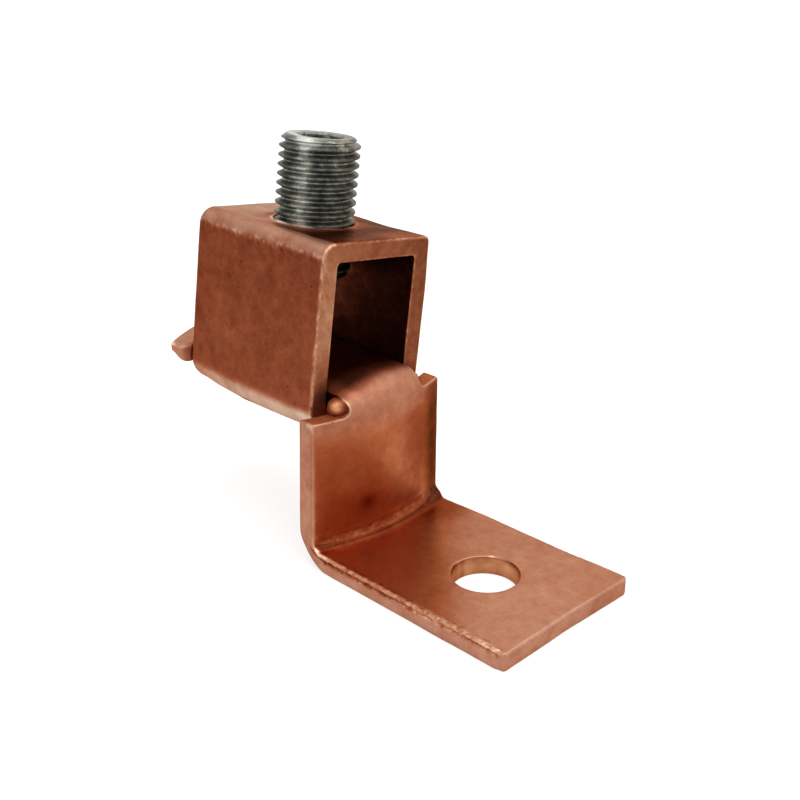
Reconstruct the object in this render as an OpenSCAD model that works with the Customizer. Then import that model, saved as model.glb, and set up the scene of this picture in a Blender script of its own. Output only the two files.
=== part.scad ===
// Offset terminal lug: a bent copper strap, a square copper collar round its upper leg,
// and a set screw in the collar's roof that clamps a conductor onto the strap.
// Origin: axis of the stud hole at the underside of the foot. +X points to the tip of the foot, +Z up.

/* [Strap] */
// Thickness of the copper strip
strap_t = 2.6; // [1.5:0.1:4]
// Width of the foot and of the riser
strap_w = 24; // [20:0.5:34]
// Stud hole axis to the tip of the foot
foot_tip = 13.4; // [9:0.1:24]
// Corner radius at the tip of the foot
foot_corner_r = 0.5; // [0.3:0.1:4]
// Stud hole diameter
stud_hole_d = 9; // [5:0.1:13]
// Rounding of the stud hole's upper rim
stud_rim_r = 0.35; // [0.1:0.05:0.8]
// Stud hole axis to the front of the riser, at its middle
riser_x = 18; // [13:0.5:30]
// How far the riser's edges fall back behind its bowed middle
riser_bow = 2.1; // [0.8:0.1:3]
// Height of the shoulders above the underside of the foot
shoulder_z = 21; // [14:0.5:34]
// Inside radius of the lower bend
lower_in_r = 1.8; // [0.4:0.1:2.4]
// Outside radius of the lower bend
lower_out_r = 4.6; // [3:0.1:6]
// Inside radius of the upper bend
upper_in_r = 0.3; // [0.1:0.1:1.5]
// Fillet where the neck leaves the shoulders
notch_r = 1.1; // [0.4:0.1:2]
// Sideways offset of the neck from the middle of the foot
neck_y = 0.55; // [-1:0.05:1]

/* [Tail] */
// Width across the two ears that keep the collar on
tail_w = 19.6; // [17:0.1:22]
// Length of the tail behind the collar, at its middle
tail_len = 4.6; // [4:0.1:10]
// Radius of the tail's rounded rear edge
tail_end_r = 36; // [13:0.5:60]
// Corner radius of the ears
tail_corner_r = 1; // [0.3:0.1:1.5]
// End play between the ears and the collar
tail_play = 0.3; // [0.1:0.1:1]

/* [Collar] */
// Outside width of the collar
collar_w = 19.6; // [18:0.1:26]
// Length of the collar along the conductor
collar_len = 26; // [18:0.1:40]
// Clear height inside the collar
collar_clear_h = 19.7; // [16:0.1:30]
// Wall of the sides
side_wall = 2.7; // [1.6:0.1:3.5]
// Wall of the roof, which carries the thread
roof_wall = 2.6; // [2:0.1:6]
// Wall of the floor under the strap
floor_wall = 3.4; // [2:0.1:5]
// Outside radius of the near upper corner
roof_near_r = 2.3; // [0.6:0.1:2.6]
// Outside radius of the far upper corner
roof_far_r = 0.9; // [0.6:0.1:2.6]
// Outside radius of the two lower corners
floor_corner_r = 4.1; // [0.6:0.1:4.5]
// Rounding of the outer edges at both ends of the collar
end_edge_r = 0.5; // [0.1:0.1:0.9]
// Rounding of the inside corners
inner_corner_r = 0.6; // [0.2:0.1:1.5]
// Gap between the collar and the back of the shoulders
collar_gap = 0.25; // [0.1:0.05:1]
// Sideways lean of the collar on the strap, in degrees
collar_lean = 8.2; // [0:0.1:10]
// Gap between the collar's floor and the near edge of the strap
seat_gap = 0.5; // [0.02:0.01:0.8]
// Gap where the collar's near wall meets the strap
side_gap = 0.05; // [0.02:0.01:0.3]
// Side play of the strap inside the collar, each side
strap_play = 0.37; // [0.15:0.01:0.6]

/* [Set screw] */
// Thread diameter
screw_d = 11.11; // [6:0.01:12.7]
// Thread pitch
screw_pitch = 1.27; // [0.8:0.01:1.6]
// Length of the screw
screw_len = 19.05; // [14:0.05:25]
// How far the screw stands out of the collar's roof
screw_out = 11.7; // [3:0.1:14]
// Radial clearance of the screw in its hole
thread_play = 0.05; // [0.02:0.01:0.1]
// Width across flats of the hexagon socket
socket_af = 5.56; // [2:0.01:6]
// Depth of the hexagon socket
socket_depth = 5.2; // [2:0.1:8]
// Diameter of the cup at the screw's point
cup_d = 6; // [2:0.1:7]

/* [Hidden] */
$fn = 96;
eps = 0.01;
far = 200;

// The bowed strip: front and back faces are arcs about one upright axis
bow_r = (pow(strap_w / 2, 2) + pow(riser_bow, 2)) / (2 * riser_bow);
bow_axis_x = -riser_x - bow_r;
function front_x(y) = bow_axis_x + sqrt(pow(bow_r, 2) - y * y);
function back_x(y) = bow_axis_x + sqrt(pow(bow_r - strap_t, 2) - y * y);

// The collar's clear width sets the neck inside it
collar_clear_w = collar_w - 2 * side_wall;
neck_w = (collar_clear_w - 2 * strap_play - strap_t * sin(collar_lean)) / cos(collar_lean);
neck_near = neck_y - neck_w / 2;
neck_far = neck_y + neck_w / 2;

// The upper bend turns about a line across the strap, level with the shoulders
bend_axis_x = back_x(max(abs(neck_near), abs(neck_far))) - upper_in_r;
bend_axis_z = shoulder_z - upper_in_r;
function floor_top_z(y) = bend_axis_z + front_x(y) - bend_axis_x;
function floor_under_z(y) = bend_axis_z + back_x(y) - bend_axis_x;

// Farthest corner of the foot from the bow axis
foot_reach = norm([foot_tip - bow_axis_x, strap_w]);

// Places along the strap
collar_front_x = back_x(strap_w / 2) - collar_gap;
collar_rear_x = collar_front_x - collar_len;
tail_front_x = collar_rear_x - tail_play;
tail_rear_x = tail_front_x - tail_len;

// The leaning collar has slid over until its near wall meets the near edge of the neck
strap_mid_z = shoulder_z + strap_t / 2;
near_top = (floor_top_z(neck_near) - strap_mid_z) * sin(collar_lean);
collar_mid_y = neck_near + (collar_clear_w / 2 - side_gap - near_top) / cos(collar_lean);
near_drop = (strap_mid_z - floor_under_z(neck_near)) * cos(collar_lean);
seat_drop = (collar_mid_y - neck_near) * sin(collar_lean) + near_drop + seat_gap;
collar_y = collar_mid_y - seat_drop * sin(collar_lean);
collar_z = strap_mid_z - seat_drop * cos(collar_lean);
collar_h = floor_wall + collar_clear_h + roof_wall;
screw_x = collar_front_x - collar_len / 2;
screw_top = collar_clear_h + roof_wall + screw_out;

// Thread form: sharp V cut to an eighth of a pitch at the crest and a quarter at the root
thread_depth = 0.6134 * screw_pitch;
crest = screw_pitch / 8;
flank = thread_depth * tan(30);

copper = [0.72, 0.42, 0.31];
zinc_steel = [0.50, 0.51, 0.49];

// Flat outline of the strip's bowed section, seen from above, from one edge to the other
module bowed_section(near, far_edge) {
    intersection() {
        translate([bow_axis_x, 0]) difference() {
            circle(r = bow_r);
            circle(r = bow_r - strap_t);
        }
        translate([-riser_x - bow_r / 2, near]) square([bow_r / 2, far_edge - near]);
    }
}

// Square with a corner circle taken out: the fillet that fills an inside corner at the origin
module corner_fillet(r) {
    difference() {
        translate([-eps, -eps]) square(r + eps);
        translate([r, r]) circle(r = r);
    }
}

// Side profile of foot, lower bend and riser, as radius from the bow axis against height
module foot_profile() {
    riser_back = bow_r - strap_t;
    difference() {
        union() {
            translate([riser_back, 0]) square([foot_reach - riser_back, strap_t]);
            translate([riser_back, 0]) square([strap_t, shoulder_z + notch_r]);
            translate([bow_r, strap_t]) corner_fillet(lower_in_r);
        }
        translate([riser_back, 0]) corner_fillet(lower_out_r);
    }
}

// Plan of the foot and riser, with rounded corners at the tip
module foot_plan() {
    rear = bow_axis_x + bow_r / 2;
    difference() {
        translate([rear, -strap_w / 2]) square([foot_tip - rear, strap_w]);
        for (side = [-1, 1])
            translate([foot_tip, side * strap_w / 2]) scale([-1, -side]) corner_fillet(foot_corner_r);
    }
}

// Front view of the riser: full width up to the shoulders, with fillets at the foot of the neck
module riser_front() {
    translate([-strap_w / 2, -eps]) square([strap_w, shoulder_z + eps]);
    translate([neck_near, shoulder_z]) scale([-1, 1]) corner_fillet(notch_r);
    translate([neck_far, shoulder_z]) corner_fillet(notch_r);
}

// Plan of the tail: two ears with rounded corners in front and one round edge behind
module tail_plan() {
    half = tail_w / 2;
    intersection() {
        translate([tail_rear_x + tail_end_r, 0]) circle(r = tail_end_r);
        difference() {
            translate([tail_rear_x, -half]) square([tail_len, tail_w]);
            for (side = [-1, 1])
                translate([tail_front_x, side * half]) scale([-1, -side]) corner_fillet(tail_corner_r);
        }
    }
}

// Plan of the neck and its tail
module neck_plan() {
    translate([tail_front_x - eps, neck_near]) square([bend_axis_x - tail_front_x + eps, neck_w]);
    tail_plan();
}

// Stud hole with a rounded upper rim, as one turned cutter
module stud_hole() {
    rim = stud_hole_d / 2;
    rotate_extrude() difference() {
        translate([0, -1]) square([rim + stud_rim_r, strap_t + 2]);
        translate([rim, -2]) square([2 * stud_rim_r, strap_t - stud_rim_r + 2]);
        translate([rim + stud_rim_r, strap_t - stud_rim_r]) circle(r = stud_rim_r);
    }
}

// Foot, lower bend and riser are turned about the bow axis, so every crease follows the bow
module foot_and_riser() {
    difference() {
        intersection() {
            translate([bow_axis_x, 0, 0]) rotate_extrude() foot_profile();
            linear_extrude(shoulder_z + notch_r) foot_plan();
            rotate([90, 0, 90]) translate([0, 0, -far / 2]) linear_extrude(far) riser_front();
        }
        stud_hole();
    }
}

// The neck's section swung back through the upper bend
module upper_bend() {
    translate([bend_axis_x, 0, bend_axis_z]) rotate([90, 0, 0]) rotate_extrude(angle = 90)
        translate([-bend_axis_x, 0]) bowed_section(neck_near, neck_far);
}

// The strip that runs back under the conductor, crowned like the riser
module strap_floor() {
    intersection() {
        translate([bend_axis_x, 0, bend_axis_z - bend_axis_x]) rotate([0, -90, 0])
            linear_extrude(bend_axis_x - tail_rear_x) bowed_section(-tail_w, tail_w);
        translate([0, 0, shoulder_z - strap_t]) linear_extrude(4 * strap_t) neck_plan();
    }
}

module strap() {
    color(copper) union() {
        foot_and_riser();
        upper_bend();
        strap_floor();
    }
}

// Places a child in the leaning collar's own frame: X along it, Z up from its inside floor
module in_collar() {
    translate([0, collar_y, collar_z]) rotate([-collar_lean, 0, 0]) children();
}

// End view of the collar's outside: a round and a sharper corner above, two larger ones below
module collar_outline() {
    half = collar_w / 2;
    roof = collar_clear_h + roof_wall;
    difference() {
        translate([-half, -floor_wall]) square([collar_w, collar_h]);
        translate([-half, roof]) scale([1, -1]) corner_fillet(roof_near_r);
        translate([half, roof]) scale([-1, -1]) corner_fillet(roof_far_r);
        for (side = [-1, 1])
            translate([side * half, -floor_wall]) scale([-side, 1]) corner_fillet(floor_corner_r);
    }
}

// End view of the collar's inside
module collar_inside() {
    half = collar_clear_w / 2;
    difference() {
        translate([-half, 0]) square([collar_clear_w, collar_clear_h]);
        for (side = [-1, 1], end = [0, 1])
            translate([side * half, end * collar_clear_h]) scale([-side, 1 - 2 * end])
                corner_fillet(inner_corner_r);
    }
}

// Section of the metal taken off an end edge: X runs inwards from the outside, Y in from the end
module end_edge() {
    scale([-1, 1]) corner_fillet(end_edge_r);
}

// The same section turned through one corner of a given radius
module end_corner(r) {
    rotate_extrude(angle = 90) translate([r, 0]) end_edge();
}

// Cutter that rounds one end of the collar, swept along its four sides and round its four corners
module end_rounding() {
    half = collar_w / 2;
    roof = collar_clear_h + roof_wall;
    near_h = collar_h - roof_near_r - floor_corner_r;
    far_h = collar_h - roof_far_r - floor_corner_r;
    roof_w = collar_w - roof_near_r - roof_far_r;
    floor_w = collar_w - 2 * floor_corner_r;
    translate([roof_near_r - half, roof, 0]) rotate([90, 0, 90]) linear_extrude(roof_w) end_edge();
    translate([floor_w / 2, -floor_wall, 0]) rotate([90, 0, -90]) linear_extrude(floor_w) end_edge();
    translate([half, roof - roof_far_r, 0]) rotate([90, 0, 0]) linear_extrude(far_h) end_edge();
    translate([-half, floor_corner_r - floor_wall, 0]) rotate([90, 0, 180])
        linear_extrude(near_h) end_edge();
    translate([half - roof_far_r, roof - roof_far_r, 0]) end_corner(roof_far_r);
    translate([roof_near_r - half, roof - roof_near_r, 0]) rotate(90) end_corner(roof_near_r);
    for (side = [0, 1])
        translate([(2 * side - 1) * floor_w / 2, floor_corner_r - floor_wall, 0]) rotate(180 + 90 * side)
            end_corner(floor_corner_r);
}

module collar() {
    color(copper) in_collar() difference() {
        translate([collar_rear_x, 0, 0]) rotate([90, 0, 90]) difference() {
            linear_extrude(collar_len) difference() {
                collar_outline();
                collar_inside();
            }
            end_rounding();
            translate([0, 0, collar_len]) mirror([0, 0, 1]) end_rounding();
        }
        translate([screw_x, 0, collar_clear_h / 2]) cylinder(d = screw_d + 2 * thread_play, h = far);
    }
}

// Half section of the threaded shank, as stacked V grooves between two chamfered ends
module thread_profile() {
    crest_r = screw_d / 2;
    root_r = crest_r - thread_depth;
    turns = floor((screw_len - 2 * thread_depth) / screw_pitch);
    start = (screw_len - turns * screw_pitch) / 2;
    difference() {
        polygon([[0, 0], [root_r, 0], [crest_r, thread_depth], [crest_r, screw_len - thread_depth],
            [root_r, screw_len], [0, screw_len]]);
        for (turn = [0 : turns - 1]) translate([crest_r, start + (turn + 0.5) * screw_pitch])
            polygon([[eps, -flank - crest], [eps, flank + crest],
                [-thread_depth, crest], [-thread_depth, -crest]]);
    }
}

module set_screw() {
    color(zinc_steel) in_collar() translate([screw_x, 0, screw_top - screw_len]) difference() {
        rotate_extrude() thread_profile();
        translate([0, 0, screw_len - socket_depth]) cylinder(d = socket_af / cos(30), h = far, $fn = 6);
        translate([0, 0, -eps]) cylinder(d1 = cup_d, d2 = 0, h = cup_d / 4);
    }
}

strap();
collar();
set_screw();
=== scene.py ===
"""Looks of the offset terminal lug: copper strap, copper collar and zinc-plated set screw, built in
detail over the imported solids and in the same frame. Lengths are in mm until a mesh is made."""

import math

import bmesh
import bpy
import numpy as np
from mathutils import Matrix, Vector, noise
from mathutils.geometry import delaunay_2d_cdt
from mathutils.kdtree import KDTree


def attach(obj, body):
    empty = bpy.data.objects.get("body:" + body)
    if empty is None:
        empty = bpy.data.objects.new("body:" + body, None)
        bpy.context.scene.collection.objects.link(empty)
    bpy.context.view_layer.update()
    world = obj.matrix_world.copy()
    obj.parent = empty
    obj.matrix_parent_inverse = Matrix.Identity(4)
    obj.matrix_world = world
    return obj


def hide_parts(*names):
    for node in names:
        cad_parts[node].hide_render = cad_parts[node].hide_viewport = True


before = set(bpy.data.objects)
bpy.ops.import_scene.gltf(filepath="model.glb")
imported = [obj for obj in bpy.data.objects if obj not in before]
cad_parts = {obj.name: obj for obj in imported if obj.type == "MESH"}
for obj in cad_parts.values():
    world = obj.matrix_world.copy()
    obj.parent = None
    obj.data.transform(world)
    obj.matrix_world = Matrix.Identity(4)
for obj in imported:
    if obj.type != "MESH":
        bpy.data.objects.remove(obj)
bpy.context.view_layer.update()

MM = 0.001

# Strap
STRAP_T, STRAP_W = 2.6, 24.0
FOOT_TIP, FOOT_CORNER_R = 13.4, 0.6
HOLE_R = 4.5
RISER_X, RISER_BOW, SHOULDER_Z = 18.0, 2.1, 21.0
LOWER_IN_R, LOWER_OUT_R, UPPER_IN_R, NOTCH_R, NECK_Y = 1.8, 5.0, 0.3, 1.1, 0.55
TAIL_W, TAIL_LEN, TAIL_END_R, TAIL_PLAY = 19.9, 4.8, 36.0, 0.3
SHOULDER_R, EAR_ROOT_R, EAR_END_R, NEAR_EAR_R, FAR_EAR_R = 0.4, 0.3, 0.35, 1.8, 1.0
# Collar
COLLAR_W, COLLAR_LEN, CLEAR_H = 19.6, 26.0, 19.7
SIDE_WALL, ROOF_WALL, FLOOR_WALL = 2.7, 2.6, 3.4
ROOF_NEAR_R, ROOF_FAR_R, FLOOR_R, INNER_R, END_EDGE_R = 2.3, 0.9, 4.1, 0.6, 0.5
COLLAR_GAP, LEAN, SEAT_GAP, SIDE_GAP, STRAP_PLAY = 0.25, math.radians(8.2), 0.5, 0.05, 0.37
SIN, COS = math.sin(LEAN), math.cos(LEAN)
# Set screw
SCREW_D, PITCH, SCREW_LEN, SCREW_OUT, THREAD_PLAY = 11.11, 1.27, 19.05, 11.7, 0.05
SOCKET_AF, SOCKET_DEPTH, SOCKET_RIM_R, CUP_D = 5.56, 5.2, 3.32, 6.0

# Places that follow from the sizes
BOW_R = ((STRAP_W / 2) ** 2 + RISER_BOW ** 2) / (2 * RISER_BOW)
BOW_X = -RISER_X - BOW_R
BACK_R = BOW_R - STRAP_T
CLEAR_W = COLLAR_W - 2 * SIDE_WALL
NECK_W = (CLEAR_W - 2 * STRAP_PLAY - STRAP_T * SIN) / COS
NECK_NEAR, NECK_FAR = NECK_Y - NECK_W / 2, NECK_Y + NECK_W / 2


def on_bow(radius, y):
    """X of a point at a radius from the upright bow axis, at sideways place y."""
    return BOW_X + np.sqrt(np.maximum(radius * radius - np.square(y), 0.0))


BEND_X = float(on_bow(BACK_R, max(abs(NECK_NEAR), abs(NECK_FAR)))) - UPPER_IN_R
BEND_Z = SHOULDER_Z - UPPER_IN_R
COLLAR_FRONT = float(on_bow(BACK_R, STRAP_W / 2)) - COLLAR_GAP
COLLAR_REAR = COLLAR_FRONT - COLLAR_LEN
TAIL_FRONT = COLLAR_REAR - TAIL_PLAY
TAIL_REAR = TAIL_FRONT - TAIL_LEN
STRAP_MID = SHOULDER_Z + STRAP_T / 2
NEAR_TOP = BEND_Z + float(on_bow(BOW_R, NECK_NEAR)) - BEND_X
NEAR_UNDER = BEND_Z + float(on_bow(BACK_R, NECK_NEAR)) - BEND_X
COLLAR_MID_Y = NECK_NEAR + (CLEAR_W / 2 - SIDE_GAP - (NEAR_TOP - STRAP_MID) * SIN) / COS
SEAT_DROP = (COLLAR_MID_Y - NECK_NEAR) * SIN + (STRAP_MID - NEAR_UNDER) * COS + SEAT_GAP
COLLAR_Y = COLLAR_MID_Y - SEAT_DROP * SIN
COLLAR_Z = STRAP_MID - SEAT_DROP * COS
SCREW_X = COLLAR_FRONT - COLLAR_LEN / 2
ROOF_Z = CLEAR_H + ROOF_WALL


def smooth(t):
    """0 to 1 with soft ends."""
    t = np.clip(t, 0.0, 1.0)
    return t * t * (3 - 2 * t)


def peak(*offsets):
    """1 where every offset is 0, falling off over about 1 in each."""
    return np.exp(-sum(np.square(t) for t in offsets))


def lobe(turn, middle, width):
    """1 on one side of a circle of angles, falling off over a width; middle and width are in degrees."""
    return peak(((np.degrees(turn) - middle + 180) % 360 - 180) / width)


def in_collar(points):
    """Points of the leaning collar's own frame, moved to the part's frame."""
    x, y, z = np.asarray(points, float).T
    return np.c_[x, COLLAR_Y + y * COS + z * SIN, COLLAR_Z - y * SIN + z * COS]


def rough(points, size, seed=0.0):
    """Smooth noise from -1 to 1 at each point, with features of about the given size in mm."""
    return np.array([noise.noise(Vector(p) / size + Vector((seed, 1.7 * seed, -seed))) for p in points])


def circle_noise(turn, size, seed):
    """Smooth noise from -1 to 1 round a circle of angles, busier where the size is larger."""
    return np.array([noise.noise(Vector((size * math.cos(t), size * math.sin(t), seed))) for t in turn])


class Shell:
    """Points with surface values, and the faces between them. Tone runs from dark at 0 to bright metal at 1
    and carries tarnish as well as painted shade and highlights, flush is a red tint, which also stands for
    painted copper-in-copper reflection, or a paler one below 0, matte a duller finish, gilt a golden tint,
    and flat is where the grain of the metal is read."""

    KINDS = ("tone", "flush", "matte", "gilt")

    def __init__(self):
        self.points, self.values, self.flats, self.faces, self.count = [], [], [], [], 0

    def add(self, points, tone, flush=0.0, matte=0.0, flat=None, gilt=0.0):
        points = np.asarray(points, float).reshape(-1, 3)
        n = len(points)
        self.points.append(points)
        values = [np.broadcast_to(np.asarray(v, float), n) for v in (tone, flush, matte, gilt)]
        self.values.append(np.stack(values, axis=1))
        self.flats.append(points if flat is None else flat)
        self.count += n
        return np.arange(self.count - n, self.count)

    def band(self, a, b):
        """Quads between two closed loops of the same length."""
        self.faces += list(zip(a, np.roll(a, -1), np.roll(b, -1), b))

    def stack(self, loops):
        """Bands between each loop and the next."""
        for a, b in zip(loops, loops[1:]):
            self.band(a, b)

    def patch(self, loops, extra, index):
        """Fills the area between closed 2-D loops; index names their points and then the extra ones."""
        index = np.concatenate(index)
        self.faces += [tuple(index[i] for i in f) for f in fill(loops, extra)]

    def fan(self, loop, centre):
        """Triangles from a closed loop to one point."""
        self.faces += [(i, j, centre) for i, j in zip(loop, np.roll(loop, -1))]

    def object(self, name, body, node, sharp):
        """One closed mesh in metres that stands for a CAD node and rides on its body."""
        mesh = bpy.data.meshes.new(name)
        points = np.concatenate(self.points) * MM
        mesh.from_pydata(points.tolist(), [], [tuple(int(i) for i in f) for f in self.faces])
        values = np.concatenate(self.values).astype(np.float32)
        for k, kind in enumerate(self.KINDS):
            layer = mesh.attributes.new(kind, "FLOAT", "POINT")
            layer.data.foreach_set("value", np.ascontiguousarray(values[:, k]))
        flats = (np.concatenate(self.flats) * MM).astype(np.float32)
        layer = mesh.attributes.new("flat", "FLOAT_VECTOR", "POINT")
        layer.data.foreach_set("vector", flats.ravel())
        work = bmesh.new()
        work.from_mesh(mesh)
        bmesh.ops.remove_doubles(work, verts=work.verts, dist=2e-7)
        bmesh.ops.dissolve_degenerate(work, edges=work.edges, dist=1e-8)
        bmesh.ops.recalc_face_normals(work, faces=work.faces)
        work.to_mesh(mesh)
        work.free()
        mesh.shade_smooth()
        if sharp:
            mesh.set_sharp_from_angle(angle=math.radians(sharp))
        piece = bpy.data.objects.new(name, mesh)
        bpy.context.scene.collection.objects.link(piece)
        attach(piece, body)
        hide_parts(node)
        return piece


def dent(piece, layers):
    """Moves a mesh's points along their normals by layers of noise: (size, height, seed), in mm."""
    mesh = piece.data
    n = len(mesh.vertices)
    co, normal = np.empty(n * 3), np.empty(n * 3)
    mesh.vertices.foreach_get("co", co)
    mesh.vertices.foreach_get("normal", normal)
    co, normal = co.reshape(-1, 3), normal.reshape(-1, 3)
    lift = sum(height * rough(co / MM, size, seed) for size, height, seed in layers)
    co = co + normal * lift[:, None] * MM
    co[:, 2] = np.maximum(co[:, 2], 0.0)
    mesh.vertices.foreach_set("co", co.ravel())
    mesh.update()


def inward(loop):
    """Unit vectors to the left of a closed 2-D loop, which is inwards on an anticlockwise one."""
    along = np.roll(loop, -1, 0) - np.roll(loop, 1, 0)
    along /= np.linalg.norm(along, axis=1)[:, None]
    return np.c_[-along[:, 1], along[:, 0]]


def inside(points, loop):
    """True for each 2-D point inside a closed loop."""
    x, y = points[:, :1], points[:, 1:]
    x0, y0 = loop.T
    x1, y1 = np.roll(loop, -1, 0).T
    rise = np.where(y1 == y0, 1e-12, y1 - y0)
    hits = ((y0 > y) != (y1 > y)) & (x < (x1 - x0) * (y - y0) / rise + x0)
    return hits.sum(1) % 2 == 1


def clear_of(points, loops, gap):
    """The points farther than a gap from every loop's own points."""
    near = np.concatenate(loops)
    tree = KDTree(len(near))
    for i, p in enumerate(near):
        tree.insert((p[0], p[1], 0.0), i)
    tree.balance()
    return points[[tree.find((p[0], p[1], 0.0))[2] > gap for p in points]]


def fill(loops, extra):
    """Triangles between closed 2-D loops, as indices of the loops' points and then the extra ones."""
    points = np.concatenate([*loops, extra]) if len(extra) else np.concatenate(loops)
    edges, first = [], 0
    for loop in loops:
        n = len(loop)
        edges += [(first + i, first + (i + 1) % n) for i in range(n)]
        first += n
    made = delaunay_2d_cdt([Vector(p) for p in points], edges, [], 0, 1e-7, True)
    source = np.array([ids[0] for ids in made[3]])
    faces = source[np.array(made[2])]
    middle = points[faces].mean(1)
    kept = inside(middle, loops[0])
    for loop in loops[1:]:
        kept &= ~inside(middle, loop)
    return faces[kept].tolist()


def arc(cx, cy, r, start, end, step=0.2):
    """Points on an arc, angles in degrees."""
    turn = math.radians(end - start)
    a = math.radians(start) + np.linspace(0, turn, max(4, int(abs(turn) * r / step) + 1))
    return np.c_[cx + r * np.cos(a), cy + r * np.sin(a)]


def line(a, b, step=0.35):
    """Points on a straight line, without its ends."""
    n = max(2, int(math.dist(a, b) / step))
    return np.array([np.add(a, np.subtract(b, a) * i / n) for i in range(1, n)])


# The strap is a flat blank in (q, y): q runs up the strip from the start of the lower bend, and is
# negative on the foot. Each point of the blank then goes round the two bends.
Q_RISER = math.pi / 2 * LOWER_IN_R
Q_BEND = Q_RISER + BEND_Z - STRAP_T - LOWER_IN_R
Q_FLOOR = Q_BEND + 4.6
Q_SHOULDER = Q_BEND + SHOULDER_Z - BEND_Z
CREASE_DEPTH, CREASE_WIDTH = 0.10, 0.10
# How far the lower bend is not round: sharper at its near end, fuller at its far end, trimmed outside
SHARPER, FULLER, TRIMMED = 0.32, 0.5, 0.4


def foot_q(x, y):
    """Place along the strip of a point on the foot."""
    return on_bow(BOW_R + LOWER_IN_R, y) - x


def floor_q(x):
    """Place along the strip of a point on the neck's straight part and on the tail."""
    return Q_FLOOR + BEND_X - x


def crease_q(y):
    """Where the pressed crease runs round the inner bend: lower in the middle than at the edges."""
    return Q_RISER * (0.45 + 0.17 * np.square(y / (STRAP_W / 2)))


def face_point(q, y, back):
    """Points on the strip's upper and front face, or on its under and back face."""
    face_r = BACK_R if back else BOW_R
    fillet = LOWER_OUT_R if back else LOWER_IN_R
    low = 0.0 if back else STRAP_T
    bend_start = on_bow(BOW_R + LOWER_IN_R, y)
    ahead = (on_bow(face_r + fillet, y) - bend_start) * smooth((q + 6) / 6)
    foot = [bend_start - q + ahead, np.full_like(q, low)]
    a = np.clip(q / Q_RISER, 0, 1) * math.pi / 2
    middle = np.square(np.sin(2 * a))
    groove = CREASE_DEPTH * peak((q - crease_q(y)) / CREASE_WIDTH)
    groove = groove + (SHARPER * smooth((-y - 9.0) / 3) - FULLER * smooth((y - 8.0) / 4)) * middle
    groove = -TRIMMED * smooth((-y - 9.0) / 3) * middle if back else groove
    radius = face_r + fillet - (fillet + groove) * np.sin(a)
    bend = [on_bow(radius, y), low + fillet - (fillet + groove) * np.cos(a)]
    section = on_bow(face_r, y)
    start = low + fillet
    riser = [section, start + (BEND_Z - start) * np.clip((q - Q_RISER) / (Q_BEND - Q_RISER), 0, 1)]
    swing = np.clip((q - Q_BEND) / (Q_FLOOR - Q_BEND), 0, 1) * math.pi / 2
    arm = section - BEND_X
    unbent = smooth((np.abs(y - NECK_Y) - NECK_W / 2) / NOTCH_R)
    upper = [(BEND_X + arm * np.cos(swing)) * (1 - unbent) + section * unbent,
             (BEND_Z + arm * np.sin(swing)) * (1 - unbent) + (BEND_Z + q - Q_BEND) * unbent]
    floor = [BEND_X - (q - Q_FLOOR), BEND_Z + arm]
    where = [q < 0, q < Q_RISER, q < Q_BEND, q < Q_FLOOR]
    x, z = (np.select(where, [part[i] for part in (foot, bend, riser, upper)], floor[i]) for i in (0, 1))
    return np.c_[x, y, z]


def ear_taper(q, y):
    """Share of the full thickness: the near ear thins out towards its end."""
    back = (q - floor_q(TAIL_FRONT)) / TAIL_LEN
    return 1 - (0.03 + 0.57 * smooth((back + 0.05) / 0.8)) * smooth((-y - 5) / 4.5) * smooth(back / 0.15 + 1)


def rolled(q, y):
    """How far in mm the neck's upper face is rolled down along its near edge, by the collar's mouth."""
    mouth = smooth((q - Q_BEND - 1.2) / 2.5) * smooth((Q_FLOOR + 5 - q) / 3)
    return 0.6 * mouth * np.square(np.clip((NECK_NEAR + 2.2 - y) / 2.2, 0, 1)) * (y > NECK_NEAR - 1.5)


def strap_point(blank, depth):
    """Blank points at a depth in mm below the upper face, bent to shape."""
    q, y = blank.T
    share = np.broadcast_to(np.asarray(depth, float) / STRAP_T * ear_taper(q, y), len(q))
    share = (share + (1 - share) * rolled(q, y) / STRAP_T)[:, None]
    return face_point(q, y, False) * (1 - share) + face_point(q, y, True) * share


# Knobs that the tight upper bend squeezes out of the neck's edges: (edge, way out, radius). A knob's middle
# stands out from the edge by a share of its radius, and its side towards the camera gets a painted highlight.
KNOB_X, KNOB_Z, KNOB_OUT = BEND_X + 0.90, BEND_Z + 1.10, 0.42
KNOBS = [(NECK_NEAR, -1, 1.3), (NECK_FAR, 1, 0.85)]
# Way towards the camera: the knobs' side that way gets the painted highlight
KNOB_LIT_SIDE = np.array((0.65, -0.65, 0.40))


def squeezed(points):
    """Edge points drawn out into the knobs, each one's share of a knob, and its painted highlight."""
    knob, bright = np.zeros(len(points)), np.zeros(len(points))
    widest = math.acos(-KNOB_OUT)
    x, y, z = points.T
    away = np.c_[x - KNOB_X, z - KNOB_Z]
    r = np.linalg.norm(away, axis=1)
    for edge, way, radius in KNOBS:
        mouth = radius * math.sin(widest)
        beyond = way * (y - edge)
        inside_mouth = (r < mouth) * (np.abs(beyond) < 1.2) * smooth((0.9 - beyond) / 0.6)
        lean = np.minimum(r / mouth, 1) * widest
        along = away / np.maximum(r, 1e-9)[:, None] * np.sin(lean)[:, None]
        ball = np.c_[along[:, 0], way * np.cos(lean), along[:, 1]]
        middle = np.array((KNOB_X, edge + way * KNOB_OUT * radius, KNOB_Z))
        uneven = radius * (1 + 0.09 * rough(ball, 0.6, 71))
        points = points + (middle + uneven[:, None] * ball - points) * inside_mouth[:, None]
        knob = np.maximum(knob, inside_mouth * smooth((mouth - r) / 0.25))
        bright = np.maximum(bright, inside_mouth * smooth((ball @ KNOB_LIT_SIDE - 0.6) / 0.4))
    return points, knob, bright


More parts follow.
